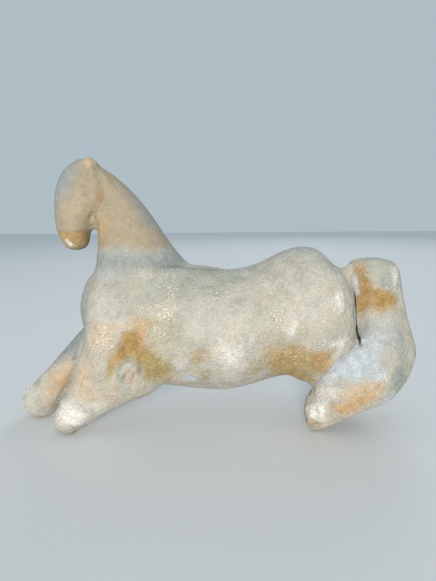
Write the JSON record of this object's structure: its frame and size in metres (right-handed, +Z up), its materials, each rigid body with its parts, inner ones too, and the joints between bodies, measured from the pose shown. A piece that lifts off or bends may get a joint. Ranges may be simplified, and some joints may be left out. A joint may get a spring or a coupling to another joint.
{
  "type": "clay horse figurine",
  "caption": "Crouching clay horse with a long drooping head, forelegs stretched forward, folded hind legs and a thick blunt tail, standing on its feet.",
  "frame": {"origin": "middle of the figure's footprint, on the plane that its feet stand on", "axes": "+X from the head to the tail, +Y to the horse's right side, +Z up"},
  "size_m": [0.2974, 0.0852, 0.1965],
  "materials": {
    "clay": "matte, grainy, low-fired clay with ochre, grey and lime-white stains"
  },
  "bodies": {
    "root": {"horse": "clay"}
  },
  "joints": []
}
